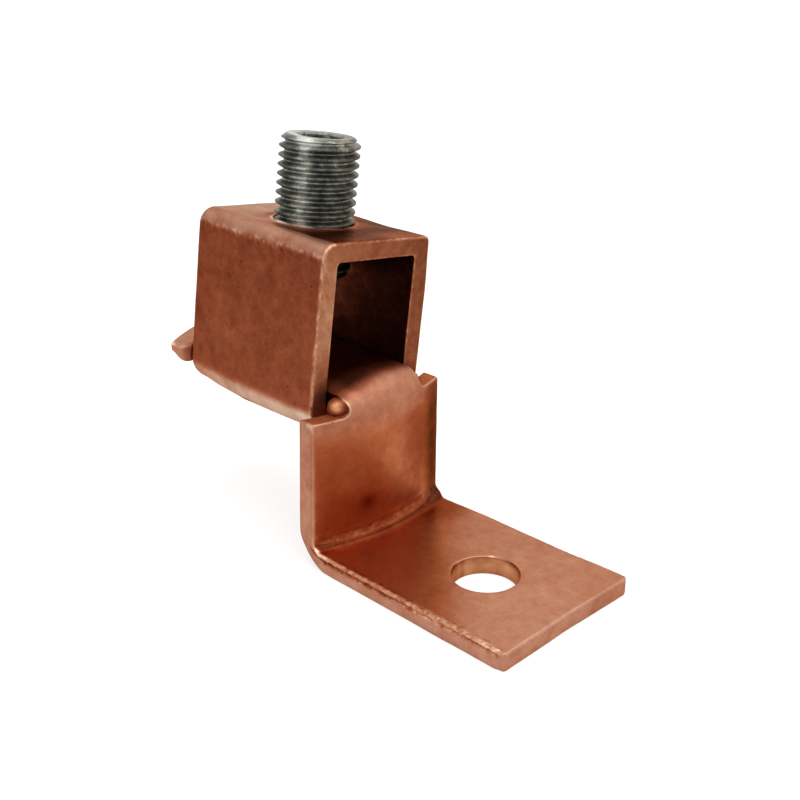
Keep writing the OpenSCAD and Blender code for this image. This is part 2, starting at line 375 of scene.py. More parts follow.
def foot_outline(side):
    """The foot's edge in (q, y), from the middle of its slightly skewed tip to the lower bend."""
    half, corner = STRAP_W / 2, FOOT_CORNER_R
    drift, flare = (0.15, 0.042) if side > 0 else (0.3, 0.0)
    x, y = np.concatenate([
        line((FOOT_TIP, 0), (FOOT_TIP, half - corner), 0.25),
        arc(FOOT_TIP - corner, half - corner, corner, 0, 90, 0.1),
        line((FOOT_TIP - corner, half), (float(on_bow(BOW_R + LOWER_IN_R, half)), half), 0.13)]).T
    x, y = x + drift * (y / half) * smooth((x - 9) / 4), y * (1 + flare * smooth((x - 2) / 11))
    return np.c_[foot_q(x, y), y]


def half_outline(side):
    """One edge of the blank from the foot's tip to the tail's end, on the far (1) or near (-1) side."""
    half, tail, neck = STRAP_W / 2, TAIL_W / 2, NECK_W / 2 + side * NECK_Y
    front, root, tip = floor_q(TAIL_FRONT), EAR_ROOT_R, EAR_END_R
    corner = FAR_EAR_R if side > 0 else NEAR_EAR_R
    shoulder = Q_SHOULDER - SHOULDER_R
    notch = Q_SHOULDER + NOTCH_R
    centre = floor_q(TAIL_REAR + TAIL_END_R)
    ear = centre + math.sqrt((TAIL_END_R - tip) ** 2 - (tail - tip) ** 2)
    turn = math.degrees(math.atan2(tail - tip, ear - centre))
    return np.concatenate([
        foot_outline(side),
        line((0, half), (Q_RISER, half), 0.13),
        line((Q_RISER, half), (shoulder, half)),
        arc(shoulder, half - SHOULDER_R, SHOULDER_R, 90, 0, 0.1),
        line((Q_SHOULDER, half - SHOULDER_R), (Q_SHOULDER, neck + NOTCH_R), 0.25),
        arc(notch, neck + NOTCH_R, NOTCH_R, 180, 270, 0.12),
        line((notch, neck), (Q_FLOOR + 1.5, neck), 0.12),
        line((Q_FLOOR + 1.5, neck), (front - root, neck), 0.25),
        arc(front - root, neck + root, root, 270, 360, 0.1),
        line((front, neck + root), (front, tail - corner), 0.25),
        arc(front + corner, tail - corner, corner, 180, 90, 0.15),
        line((front + corner, tail), (ear, tail), 0.25),
        arc(ear, tail - tip, tip, 90, turn, 0.1),
        arc(centre, 0, TAIL_END_R, turn, 0, 0.3)[1:-1]])


def along_foot(edge):
    """1 along the side of the foot, and 0 on the rest of an edge of the blank."""
    q, y = edge.T
    on_side = np.abs(y) > STRAP_W / 2 - 0.01
    return on_side * smooth((q - foot_q(FOOT_TIP - 0.5, y)) / 0.6) * smooth((2.1 - q) / 0.9)


def along_riser(edge):
    """1 along the side of the foot and the riser, and 0 on the rest of an edge of the blank."""
    return smooth((np.abs(edge[:, 1]) - 8.5) / 3) * (edge[:, 0] < Q_SHOULDER + 0.1)


def blank_outline():
    """Anticlockwise outline of the blank in (q, y), and how strongly the shear's burr stands along it."""
    near, far = half_outline(-1) * (1, -1), half_outline(1)
    burr = np.concatenate([along_foot(near), 0.25 * along_foot(far)[::-1]])
    # The riser stands a little askew: both its edges drift to the far side on the way up
    near[:, 1] += along_riser(near) * np.interp(near[:, 0], [Q_RISER, Q_SHOULDER], [0, 0.4])
    drawn_in = np.interp(far[:, 0], [-9, -0.5, Q_RISER, Q_SHOULDER], [0, 0.38, 0.38, 0.12])
    far[:, 1] -= along_riser(far) * drawn_in
    return np.concatenate([near, far[::-1]]), burr


# Sheared edge from the upper face down, as (inset, depth) and tone: plain, and with the burr along the foot
PLAIN_EDGE = np.array([(0.24, 0), (0.12, 0.03), (0.04, 0.11), (0, 0.26), (0, 0.50), (0, 0.75), (0, 1.15),
                       (0, 1.38), (0, 1.6), (0, 1.82), (0, 2.05), (0.03, 2.38), (0.10, 2.54), (0.24, 2.6)])
BURR_EDGE = np.array([(0.62, 0), (0.34, -0.09), (0.06, -0.07), (-0.10, 0.15), (-0.06, 0.42), (0.12, 0.62),
                      (0.08, 0.92), (0.04, 1.22), (-0.03, 1.5), (-0.07, 1.75), (-0.11, 2.0), (-0.14, 2.36),
                      (-0.08, 2.53), (0.14, 2.6)])
PLAIN_TONE = [0.66, 0.70, 0.72, 0.66] + [0.60] * 8 + [0.58, 0.55]
# The burr's light rows are a painted highlight on its bead, its dark row painted shade in the groove below
BURR_TONE = [0.66, 0.78, 0.84, 0.80, 0.62, 0.26, 0.48, 0.58] + PLAIN_TONE[8:]
# The rim and the burr end before these rows
RIM_ROWS, BURR_ROWS = 4, 7
# Punched hole from the upper face down: drawn-in rim, sheared wall, then a small burr turned inwards
HOLE_EDGE = np.array([(0.20, 0), (0.11, 0.02), (0.04, 0.07), (0.01, 0.16), (0, 0.3), (0, 0.8), (0.0, 1.4),
                      (0, 1.8), (-0.02, 2.3), (-0.07, 2.52), (-0.08, 2.6)])
HOLE_TONE = [0.66, 0.66, 0.64, 0.64, 0.65, 0.66, 0.66, 0.62, 0.58, 0.56, 0.55]


def strap_tone(q, y, back):
    """Tone over the strap: a dark tarnish blotch low on the riser, and painted shade: the collar's shadow on
    the neck and under it, over the riser's far side, on the foot's far side by the bend and in the lower
    bend.
    """
    x = BEND_X + Q_FLOOR - q
    # Painted shadow of the collar on both faces, from just ahead of its mouth to its rear end
    mouth = COLLAR_FRONT + 2.8 + 1.4 * smooth((3 - y) / 9)
    collar_shadow = smooth((mouth - x) / 2.6) * smooth((x - COLLAR_REAR + 1.5) / 1.5)
    if back:
        return 0.60 - 0.35 * collar_shadow
    tone = 0.66 + 0.03 * smooth((-q - 16) / 8)
    for depth, tall, wide in ((0.11, 2.2, 3.0), (0.26, 0.9, 1.1)):
        tone = tone - depth * peak((q - 6.2) / tall, (y + 3.6) / wide)
    # Painted shade over the riser's far half as it rises, and along its far edge
    high = smooth((q - 2) / 9)
    strip = 0.26 * smooth(y / 7.5) * high * smooth((Q_SHOULDER + 1 - q) / 6)
    strip = strip + (0.44 - 0.20 * high) * smooth((y - 7.4) / 2.8)
    tone = tone - strip * smooth(q / 1.5) * smooth((Q_SHOULDER + 1 - q) / 2)
    # Painted shade on the foot's far side by the lower bend
    tone = tone - 0.24 * smooth((y - 2) / 7) * smooth((q + 8) / 7.5) * smooth((1.5 - q) / 1.5)
    # Painted shade in the lower bend: over it below the crease, a dark line along the crease, and just above
    # it
    above = q - crease_q(y)
    foot = (0.38 + 0.12 * smooth((-y - 5) / 6)) * smooth(q / (0.9 * crease_q(y)))
    tone = tone - foot * smooth(-above / 0.15) - 0.32 * peak(above / 0.14)
    tone = tone - 0.14 * smooth(above / 0.15) * smooth((Q_RISER + 0.3 - q) / 1.2)
    ridge = 0.05 + 0.16 * smooth((y + 1) / 4) * smooth((9.5 - y) / 2)
    tone = tone + ridge * peak((q - Q_RISER - 0.25) / 0.5)
    # The collar's painted shadow, a little lighter on the near side
    return np.maximum(tone, 0.18) - 0.47 * collar_shadow * (1 - 0.35 * smooth((-y - 3.5) / 2))


def strap_flush(q, y):
    """Red tint: painted reflection of copper in copper over the riser and the inner part of the foot, redder
    in the collar's painted shadow, and paler on the worn neck and tail.
    """
    across = on_bow(BOW_R + LOWER_IN_R, y) - q + y
    # Painted reflection of the foot in the riser, and of the riser in the foot by the bend
    riser = smooth((Q_BEND + 1.5 - q) / 6) * (1 - 0.5 * smooth((y + 1) / 6) * smooth((q - 3) / 5))
    riser = riser - (riser - 0.15) * smooth((y - 7.0) / 2.6) * smooth(q / 1.5)
    # Redder in the collar's painted shadow
    under = smooth((q - floor_q(COLLAR_FRONT) + 1) / 2) * smooth((floor_q(COLLAR_REAR) - q) / 0.5)
    crease = peak((q - crease_q(y) + 0.2) / 0.5)
    worn = 0.15 * smooth((q - Q_BEND) / 3) + 0.4 * smooth((q - floor_q(COLLAR_REAR)) / 0.5)
    return np.where(q < 0, smooth((-1 - across) / 9), riser - worn + 0.8 * under) * (0.95 - 0.25 * crease)


def band_rough(free):
    """Sandy texture pressed into the lower riser, just above the crease: -1 to 1."""
    q, y = free.T
    above = q - crease_q(y)
    weight = smooth(above / 0.12) * smooth((3.0 - above) / 2.2)
    at = np.c_[q, y, np.zeros_like(q)]
    return weight * (0.7 * rough(at, 0.45, 41) + 0.6 * rough(at, 0.9, 43))


def strap_matte(q):
    """The neck is dull from wear."""
    return smooth((q - Q_BEND + 3) / 3) * smooth((Q_FLOOR + 4 - q) / 3)


def neck_edge_shade(q, y):
    """How deep the painted shade on the neck's edges is, and where they run, as far as the collar's rear end.
    """
    on_neck = (np.abs(y - NECK_Y) < NECK_W / 2 + 0.3) * (q < floor_q(COLLAR_REAR))
    return on_neck * smooth((q - Q_BEND - 0.3) / 0.8), on_neck


def ear_corner_and_highlight(q, y):
    """The near ear's front corner, which is knocked round and painted lighter, and a painted highlight past
    it.
    """
    past, aside = q - floor_q(TAIL_FRONT), y + TAIL_W / 2
    return peak((past - 0.4) / 0.8, (aside - 0.4) / 0.8), peak((past - 3.0) / 0.6, (aside - 0.3) / 0.6)


def on_shoulder(k, q):
    """1 on row k of the edge along the shoulders, under their rim."""
    return peak((q - Q_SHOULDER) / 0.1) * (k > 2)


def edge_tone(k, q, y, fleck):
    """Tone of row k of the plain edge."""
    rim_row = 0 < k < RIM_ROWS
    dim, on_neck = neck_edge_shade(q, y)
    corner, behind = ear_corner_and_highlight(q, y)
    shoulder_tip = peak((q - Q_SHOULDER + 0.3) / 0.45, (y + STRAP_W / 2 - 0.6) / 0.5) * (2 < k < BURR_ROWS)
    neck_rim = peak((q - Q_BEND - 2.0) / 0.8) * on_neck * rim_row
    tone = strap_tone(q, y, False)
    # Past the upper bend the edge takes the collar's painted shadow from the under face
    if k:
        tone = PLAIN_TONE[k] + (strap_tone(q, y, True) - 0.60) * (q > Q_BEND) + 0.02 * fleck
    # Painted highlights on the near shoulder's tip and on the neck's rim at the upper bend
    tone = tone + 0.10 * on_shoulder(k, q) + 0.2 * shoulder_tip + 0.28 * neck_rim
    # Painted highlights on the near ear's corner and past it, and painted shade on the neck's edges in the
    # collar
    tone = tone + (0.15 * corner + 0.4 * behind) * (k < RIM_ROWS) - 0.16 * dim * (k > 2)
    # The rim along the riser is painted darker, to take down its highlight
    return tone - 0.12 * smooth((q - 1.5) / 2) * smooth(Q_SHOULDER - 0.8 - q) * rim_row


def burr_tone(k, q, fleck):
    """Tone of row k of the burr: a painted highlight on its bead, strongest at its ends, and painted shade in
    its groove, which fades towards the tip.
    """
    bead_highlight = 0.45 + 0.55 * np.maximum(smooth((q + 2) / 2.5), smooth((-q - 21) / 8))
    groove_shade = 0.1 + 0.9 * smooth((q + 17) / 7)
    contrast = bead_highlight if BURR_TONE[k] > 0.6 else groove_shade
    tone = 0.60 + (BURR_TONE[k] - 0.60) * contrast + 0.30 * fleck * (k < BURR_ROWS)
    # A painted highlight on the rim where the burr meets the lower bend
    return tone + 0.25 * peak((q - 0.4) / 1.5) * (0 < k < RIM_ROWS)


def edge_flush(k, q, y, burr, fleck):
    """Flush of row k of the edge: pale, but red on the burr, under the shoulders' rim and along the neck's
    edges in the collar's painted shadow.
    """
    tint = -0.45 + burr * (k < BURR_ROWS) * (0.55 - 0.6 * np.maximum(fleck, 0)) if k else strap_flush(q, y)
    # Red along the neck's edges for the collar's painted shadow
    red = np.maximum(0.9 * on_shoulder(k, q), 0.9 * neck_edge_shade(q, y)[0] * (k > 2))
    return tint * (1 - red) + red


def strap_edge(shell):
    """Loops round the sheared edge from the upper face down, and each loop's places on the blank."""
    outline, burr = blank_outline()
    normal = inward(outline)
    q, y = outline.T
    at = np.c_[q, y, np.zeros_like(q)]
    # The burr swells towards the tip
    swell = 0.70 + 0.50 * smooth((-q - 8) / 18) - 0.2 * smooth((q + 3) / 4)
    knocked = ear_corner_and_highlight(q, y)[0]
    loops, blanks = [], []
    for k, (plain, worn) in enumerate(zip(PLAIN_EDGE, BURR_EDGE)):
        worn = [plain[i] + (worn[i] - plain[i]) * swell for i in (0, 1)]
        inset, depth = (plain[i] * (1 - burr) + worn[i] * burr for i in (0, 1))
        fleck = 0.8 * rough(at, 0.42, 2 + 1.7 * k) + 0.5 * rough(at, 0.9, 7 + 0.6 * k)
        if 1 < k < 8:
            shake = 0.6 * rough(at, 0.55, 3 + 0.45 * k) + 0.5 * rough(at, 1.3, 9 + 0.3 * k)
            inset = inset + shake * (0.03 + 0.17 * burr * (k < BURR_ROWS)) + knocked * (0.3 - 0.22 * depth)
            depth = depth + 0.07 * fleck * burr * (k < 6)
        blank = outline + normal * np.broadcast_to(inset, len(q))[:, None]
        points, knob, bright = squeezed(strap_point(blank, depth))
        tone = edge_tone(k, q, y, fleck)
        # Knobs are painted light, with a painted highlight towards the camera, and a red and golden painted
        # reflection of copper
        tone = tone + (0.56 + 0.44 * bright + 0.05 * fleck - tone) * knob
        tone = tone * (1 - burr) + burr_tone(k, q, fleck) * burr
        flush = edge_flush(k, q, y, burr, fleck)
        flush = flush + (0.75 - 0.25 * bright - flush) * knob
        flat = np.c_[blank, np.broadcast_to(depth, len(q))]
        loops.append(shell.add(points, np.clip(tone, 0.05, 1), np.clip(flush, -1, 1), strap_matte(q) + knob,
                               flat, 0.12 * knob))
        blanks.append(blank)
    shell.stack(loops)
    return loops, blanks


# Angles round the stud hole and round the bore in the collar's roof
TURN = np.linspace(0, 2 * math.pi, 120, endpoint=False)


def hole_glints(k):
    """Painted glints and painted shade on the stud hole's edge, at row k."""
    if k < 3:
        tone = 0.3 * lobe(TURN, 121, 5) + 0.10 * lobe(TURN, 190, 25)
    else:
        tone = -0.14 * lobe(TURN, 174, 6) - 0.10 * lobe(TURN, 129, 7) * (k < 6)
    if 0 < k < 5:
        tone = tone - 0.22 * lobe(TURN, 196, 10) - 0.22 * lobe(TURN, 80, 14)
    return tone


def hole_edge(shell):
    """Loops round the stud hole from the upper face down, and each loop's places on the blank."""
    loops, blanks = [], []
    for k, (inset, depth) in enumerate(HOLE_EDGE):
        # The near side of the edge is pressed in a little
        r = HOLE_R + inset - 0.12 * lobe(TURN, 300, 55)
        blank = np.c_[foot_q(r * np.cos(TURN), r * np.sin(TURN)), r * np.sin(TURN)]
        flush = 0.1 if k else strap_flush(*blank.T)
        streak = 0.10 * circle_noise(TURN, 2.5, 0.12 * k) * (k > 2)
        loops.append(shell.add(strap_point(blank, depth), HOLE_TONE[k] + streak + hole_glints(k), flush, 0,
                               np.c_[blank, np.full(len(blank), depth)], 0.45 * (k > 2)))
        blanks.append(blank)
    shell.stack(loops)
    return loops, blanks


def strap_lattice():
    """Free points over the blank's faces, closest in the lower bend."""
    wide, close, above_bend = 0.42, 0.21, Q_RISER + 1.7
    rows = np.concatenate([
        np.arange(-32.5, -0.8, wide), np.arange(-0.8, Q_RISER + 0.4, 0.07),
        np.arange(Q_RISER + 0.45, above_bend, 0.14), np.arange(Q_RISER + 1.8, Q_BEND - 0.4, wide),
        np.arange(Q_BEND - 0.3, Q_FLOOR + 0.3, 0.2), np.arange(Q_FLOOR + 0.6, floor_q(TAIL_REAR), wide)])
    lattice = []
    for i, q in enumerate(rows):
        step = close if -0.8 <= q < above_bend else wide
        across = np.arange(-STRAP_W / 2, STRAP_W / 2 + 0.4, step)
        lattice.append(np.c_[np.full_like(across, q), across + step / 2 * (i % 2)])
    return np.concatenate(lattice)


def strap_face(shell, lattice, edges, index, back):
    """The broad upper or under face, between the outline and the hole."""
    depth = STRAP_T if back else 0.0
    free = lattice[inside(lattice, edges[0]) & ~inside(lattice, edges[1])]
    free = clear_of(free, edges, 0.16)
    q, y = free.T
    sandy = band_rough(free) * (not back)
    made = shell.add(strap_point(free, depth - 0.02 * sandy), strap_tone(q, y, back) + 0.16 * sandy,
                     strap_flush(q, y) * (not back), strap_matte(q), np.c_[free, np.full(len(q), depth)])
    shell.patch(edges, free, [*index, made])


def make_strap():
    """The bent strap: its sheared edge, the stud hole and both broad faces."""
    shell = Shell()
    loops, blanks = strap_edge(shell)
    hole_loops, hole_blanks = hole_edge(shell)
    lattice = strap_lattice()
    for row, back in ((0, False), (-1, True)):
        strap_face(shell, lattice, [blanks[row], hole_blanks[row]], [loops[row], hole_loops[row]], back)
    piece = shell.object("copper_strap", "lug", "strap", 0)
    dent(piece, [(5.0, 0.035, 2.0), (1.6, 0.012, 5.0)])
    return piece


# The collar is a loop of samples round its section, carried along it and over both ends. In order they are
# the roof, its near corner, the near side, the floor's near corner, the floor, its far corner, the far side
# and the roof's far corner. The middle of the roof is the patch round the bore.
CORNER, SIDE, FLOOR, PATCH = 21, 50, 28, 41
RING_ENDS = np.cumsum([PATCH + 4, CORNER, SIDE, CORNER, FLOOR, CORNER, SIDE, CORNER])
PATCH_FIRST, PATCH_LAST = 2, PATCH + 1
OUTER_BORE, INNER_BORE = 6.9, 6.25


def ring(half, low, high, roof_near, roof_far, floor_r, bore):
    """Anticlockwise samples of a rounded rectangle in (y, z), with the roof first, cut at the bore patch."""
    near, far = roof_near - half, half - roof_far
    patch = np.linspace(bore, -bore, PATCH)
    along = np.concatenate([np.linspace(far, bore, 3)[:-1], patch, np.linspace(-bore, near, 3)[1:]])
    quarter = np.radians(np.linspace(0, 90, CORNER + 2))[1:-1]

    def corner(cy, cz, r, start):
        a = quarter + math.radians(start)
        return np.c_[cy + r * np.cos(a), cz + r * np.sin(a)]

    return np.concatenate([
        np.c_[along, np.full_like(along, high)],
        corner(near, high - roof_near, roof_near, 90),
        np.linspace((-half, high - roof_near), (-half, low + floor_r), SIDE),
        corner(-half + floor_r, low + floor_r, floor_r, 180),
        np.linspace((-half + floor_r, low), (half - floor_r, low), FLOOR),
        corner(half - floor_r, low + floor_r, floor_r, 270),
        np.linspace((half, low + floor_r), (half, high - roof_far), SIDE),
        corner(far, high - roof_far, roof_far, 0)])


def round_ring(*stops):
    """One value for each sample of the ring, from a value at each part's start, without steps."""
    starts = np.r_[0, RING_ENDS]
    return np.interp(np.arange(RING_ENDS[-1]), starts, [*stops, stops[0]])


OUTER = ring(COLLAR_W / 2, -FLOOR_WALL, ROOF_Z, ROOF_NEAR_R, ROOF_FAR_R, FLOOR_R, OUTER_BORE)
INNER = ring(CLEAR_W / 2, 0.0, CLEAR_H, INNER_R, INNER_R, INNER_R, INNER_BORE)
OUTWARD, FROM_INSIDE = -inward(OUTER), inward(INNER)
# Tone at each part's start round the outside: painted light and shade by the way each part faces, light on
# the roof and the floor, darkest on the near side
OUTER_TONE = round_ring(0.66, 0.62, 0.32, 0.36, 0.72, 0.66, 0.50, 0.42)
FRAME_TONE = round_ring(0.34, 0.42, 0.54, 0.51, 0.33, 0.30, 0.30, 0.33)
# The whole inside is painted dark: painted shade in the collar
INSIDE_TONE = 0.17
# Which samples are on the roof, on the near half and on the roof's far corner
ORDER = np.arange(len(OUTER))
ON_ROOF = (ORDER < RING_ENDS[0]) + 0.0
NEAR_HALF = ORDER < RING_ENDS[3]
FAR_CORNER = ORDER >= RING_ENDS[6]
# Mm down from the roof over its near corner, and degrees round the floor's near corner
REACH = np.where(ORDER < RING_ENDS[1], (ORDER - RING_ENDS[0] + 1) / (CORNER + 1) * math.pi / 2 * ROOF_NEAR_R,
                 math.pi / 2 * ROOF_NEAR_R + ROOF_Z - ROOF_NEAR_R - OUTER[:, 1])
BELOW = np.clip(90.0 * (ORDER - RING_ENDS[2] + 1) / (CORNER + 1), 0, 90) * (ORDER < RING_ENDS[4])
# Height of the floor's near part along the collar: turned up at the rear and sagged along the middle
SAG_AT, SAG_BY = [0, 1.5, 4.2, 10, 16, 24, 26], [0.42, 0.38, 0.0, -0.42, -0.36, -0.1, 0.0]
BORE_R = SCREW_D / 2 + THREAD_PLAY
# Lip that the tap leaves round the hole, as (radius past the bore, height) from the roof inwards,
# and the width of the bevel at the bore's lower end
LIP = [(0.95, 0.0), (0.62, 0.02), (0.42, 0.1), (0.25, 0.2), (0.1, 0.22), (0.0, 0.1), (0.0, -0.3)]
BEVEL = 0.35


def sagged(x):
    """The outer section at a place: its floor sags, its far side bulges and its roof dips at the far edge."""
    y, z = OUTER.T
    hang = smooth((1.0 - z) / 4) * smooth((2.0 - y) / 8)
    bulge = 0.28 * smooth((y - 7) / 2) * smooth((ROOF_Z - z) / 8) * smooth((z + 4) / 3)
    brow = smooth((y - 5) / 4) * smooth((z - ROOF_Z + 3) / 2)
    drop = np.interp(x - COLLAR_REAR, SAG_AT, SAG_BY)
    dip = 0.18 * math.exp(-((x - COLLAR_FRONT + 7) / 5) ** 2) * brow
    return OUTER + np.c_[bulge, drop * hang - dip]


def roof_light(x):
    """Painted light on the roof, as tone and flush at a place: pale at the rear, the screw's painted shadow
    and reflection in dark red ahead of it, and painted highlights by the front edge and on the far corner.
    """
    y = OUTER[:, 0]
    front = smooth((x - COLLAR_REAR - 5 - 5 * smooth((-y - 1) / 4)) / 13)
    lip = smooth((x - COLLAR_FRONT + 6) / 5)
    brow_light = smooth((y - 1) / 3) * smooth((x - COLLAR_FRONT + 4.5) / 2.5)
    tone = ON_ROOF * (0.07 - 0.60 * front + 0.16 * lip + 0.22 * brow_light)
    tone = tone + 0.2 * (FAR_CORNER * smooth((x - COLLAR_FRONT + 10) / 6))
    return tone, -0.9 * ON_ROOF * (1 - front) + 0.5 * ON_ROOF * front * (1 - lip)


def outer_shading_and_wear(x):
    """Tone and flush round the outside, with painted light and shade and wear, and how far its skin stands
    out, at a place along the collar.
    """
    at = np.c_[np.full(len(OUTER), x), OUTER]
    fine, broad = rough(at, 0.55, 21), rough(at, 1.5, 23)
    # A chewed line runs where the roof's near corner meets the side, and the corner above it gets a painted
    # highlight
    wave = 0.3 * noise.noise(Vector((x / 1.9, 4.0, 0.0))) + 0.12 * noise.noise(Vector((x / 0.5, 9.0, 0.0)))
    edge = 3.2 + wave
    chewed = peak((REACH - edge) / 0.45) * NEAR_HALF
    lit = smooth((edge + 0.45 - REACH) / 0.9) * NEAR_HALF
    roof_tone, flush = roof_light(x)
    # Painted shade over the near side, and the painted highlight on the corner above the chewed line
    near_side = 0.32 + (REACH - 4) * 0.003 + (0.33 - 0.10 * smooth((REACH - 1.4) / 1.8)) * lit
    tone = np.where(NEAR_HALF & (ORDER >= RING_ENDS[0]), near_side, OUTER_TONE + roof_tone)
    tone = tone + chewed * (0.34 * np.maximum(fine, 0) + 0.20 * broad)
    tone = tone - 0.16 * np.maximum(-fine, 0) * peak((REACH - edge - 0.5) / 0.4) * NEAR_HALF
    # The floor's near corner carries a painted reflection of the floor, but for one dark place
    along = x - COLLAR_REAR
    floor_reflection = smooth((BELOW - np.interp(along, [0, 22], [10, 14]) + 9) / 22)
    tone = tone + np.interp(along, [0, 5, 20], [0.22, 0.30, 0.43]) * floor_reflection * (BELOW < 90)
    tone = tone - 0.5 * math.exp(-((along - 11.0) / 1.2) ** 2) * smooth((BELOW - 44) / 10) * (BELOW < 90)
    flush = flush - 0.6 * lit * (1 - ON_ROOF) - np.interp(along, [0, 6], [0.45, 0.95]) * floor_reflection
    return tone, flush, chewed * (0.05 * fine + 0.03 * np.minimum(broad, 0.1)) + 0.02 * lit * broad


def stations(first, last, bore, step):
    """Places along the collar, which include both edges of the bore patch."""
    stops = [first, SCREW_X - bore, SCREW_X + bore, last]
    parts = [np.linspace(a, b, max(2, round((b - a) / step) + 1))[:-1] for a, b in zip(stops, stops[1:])]
    return np.concatenate([*parts, [last]])


def section(shell, shape, x, tone, flush=0.0, gilt=0.0):
    """A section of the collar in (y, z), put at a place along it."""
    at = np.c_[np.full(len(shape), x), shape]
    return shell.add(in_collar(at), np.clip(tone, 0.03, 1), flush, gilt=gilt)


def skin(shell, grid, places, bore):
    """Quads between sections, but for the patch round the bore. Gives back the loop round that patch."""
    rows = [i for i, x in enumerate(places) if abs(x - SCREW_X) <= bore + 1e-6]
    rear, front = rows[0], rows[-1]
    n = len(grid[0])
    for i, (lower, upper) in enumerate(zip(grid, grid[1:])):
        for k in range(n):
            if not (rear <= i < front and PATCH_FIRST <= k < PATCH_LAST):
                j = (k + 1) % n
                shell.faces.append((lower[k], lower[j], upper[j], upper[k]))
    loop = [grid[rear][k] for k in range(PATCH_FIRST, PATCH_LAST)]
    loop += [grid[i][PATCH_LAST] for i in range(rear, front)]
    loop += [grid[front][k] for k in range(PATCH_LAST, PATCH_FIRST, -1)]
    loop += [grid[i][PATCH_FIRST] for i in range(front, rear, -1)]
    return np.array(loop)


def bore_circle(shell, r, z, tone, flush=0.0):
    """A circle round the bore at a height in the collar's frame."""
    at = np.c_[SCREW_X + r * np.cos(TURN), r * np.sin(TURN), np.broadcast_to(z, len(TURN))]
    return shell.add(in_collar(at), tone, flush)


def join(shell, loop, circle, r):
    """Fills the patch between its loop and a circle of radius r."""
    flat = np.concatenate(shell.points)[loop]
    y = (flat[:, 1] - COLLAR_Y) * COS - (flat[:, 2] - COLLAR_Z) * SIN
    hole = np.c_[SCREW_X + r * np.cos(TURN), r * np.sin(TURN)]
    shell.patch([np.c_[flat[:, 0], y], hole], [], [loop, circle])


def tap_lip(shell):
    """Circles of the lip round the hole, with pale chips on its near side."""
    ragged = 0.55 + 0.75 * circle_noise(TURN, 2.2, 4.0)
    chips = lobe(TURN, 278, 66)
    lip = []
    for past, height in LIP:
        high = height * (np.clip(ragged, 0.1, 1.2) + 0.6 * chips * (ragged > 0.4))
        tone = 0.34 + 0.40 * chips + (0.16 + 0.35 * chips * (ragged - 0.4)) * (height > 0.05)
        lip.append(bore_circle(shell, BORE_R + past, ROOF_Z + high, tone, -0.7 * chips))
    return lip


def collar_end(shell, end, way, first, last):
    """Rounded outer edge, flat sawn face and small inner edge of one end; way leads into the collar."""
    loops = [first]
    outer = sagged(end)
    tone, flush, lift = outer_shading_and_wear(end + way * END_EDGE_R)
    for a in np.radians([18, 36, 54, 72, 90]):
        share = a / math.radians(90)
        shape = outer - OUTWARD * (END_EDGE_R * (1 - math.cos(a)))
        fleck = rough(np.c_[shape, np.full(len(shape), a)], 0.5, 51)
        mixed = tone * (1 - share) + FRAME_TONE * share + math.sin(2 * a) ** 2 * (0.20 + 0.30 * fleck)
        shape = shape + OUTWARD * (lift * (1 - share) + 0.02 * fleck * math.sin(2 * a))[:, None]
        x = end + way * END_EDGE_R * (1 - math.sin(a))
        loops.append(section(shell, shape, x, mixed, flush * (1 - share) - 0.6 * share, 0.25 * share))
    face = outer - OUTWARD * END_EDGE_R
    for share in (0.3, 0.6, 0.88):
        shape = face * (1 - share) + (INNER - FROM_INSIDE * 0.12) * share
        speck = rough(np.c_[shape, np.zeros(len(shape))], 0.9, 53)
        loops.append(section(shell, shape, end, FRAME_TONE + 0.06 * speck, -0.6, 0.25))
    edge = rough(np.c_[INNER, np.zeros(len(INNER))], 0.7, 55)
    shape = INNER - FROM_INSIDE * (0.12 + 0.05 * edge)[:, None]
    loops.append(section(shell, shape, end, FRAME_TONE + 0.10 + 0.15 * edge, -0.4, 0.25))
    loops.append(section(shell, INNER - FROM_INSIDE * 0.04, end + way * 0.05, 0.55 + 0.2 * edge, -0.3))
    shell.stack([*loops, last])


def make_collar():
    """The leaning collar: outside, lip and bore, inside, and both ends."""
    shell = Shell()
    places = stations(COLLAR_REAR + END_EDGE_R, COLLAR_FRONT - END_EDGE_R, OUTER_BORE, 0.26)
    grid = []
    for x in places:
        tone, flush, lift = outer_shading_and_wear(x)
        grid.append(section(shell, sagged(x) + OUTWARD * lift[:, None], x, tone, flush))
    hole = skin(shell, grid, places, OUTER_BORE)
    lip = tap_lip(shell)
    join(shell, hole, lip[0], BORE_R + LIP[0][0])
    places = stations(COLLAR_REAR + 0.15, COLLAR_FRONT - 0.15, INNER_BORE, 0.9)
    grid_in = [section(shell, INNER, x, INSIDE_TONE) for x in places]
    hole = skin(shell, grid_in, places, INNER_BORE)
    # The bore's lower edge inside the collar is painted dark too, as shade
    for past, high, tone in ((0.0, 0.25, 0.2), (0.2, 0.0, 0.15), (BEVEL, 0.0, INSIDE_TONE)):
        lip.append(bore_circle(shell, BORE_R + past, CLEAR_H + high, tone))
    shell.stack(lip)
    join(shell, hole, lip[-1], BORE_R + BEVEL)
    collar_end(shell, COLLAR_REAR, 1, grid[0], grid_in[0])
    collar_end(shell, COLLAR_FRONT, -1, grid[-1], grid_in[-1])
    piece = shell.object("copper_collar", "lug", "collar", 0)
    dent(piece, [(6.0, 0.045, 31.0), (2.2, 0.014, 33.0)])
    return piece


# The set screw stands in the collar's frame, with heights from its point. END_R is its flat ends' radius
SCREW_TURN = np.linspace(0, 2 * math.pi, 144, endpoint=False)
SCREW_BASE = ROOF_Z + SCREW_OUT - SCREW_LEN
CREST_R, THREAD_DEPTH = SCREW_D / 2, 0.6134 * PITCH
END_R = CREST_R - THREAD_DEPTH - 0.12
# Shares of the pitch at which a flank starts and ends
FLANK_FOOT, FLANK_TOP = 0.14, 0.84
CHAMFER_SLOPE = 1.15


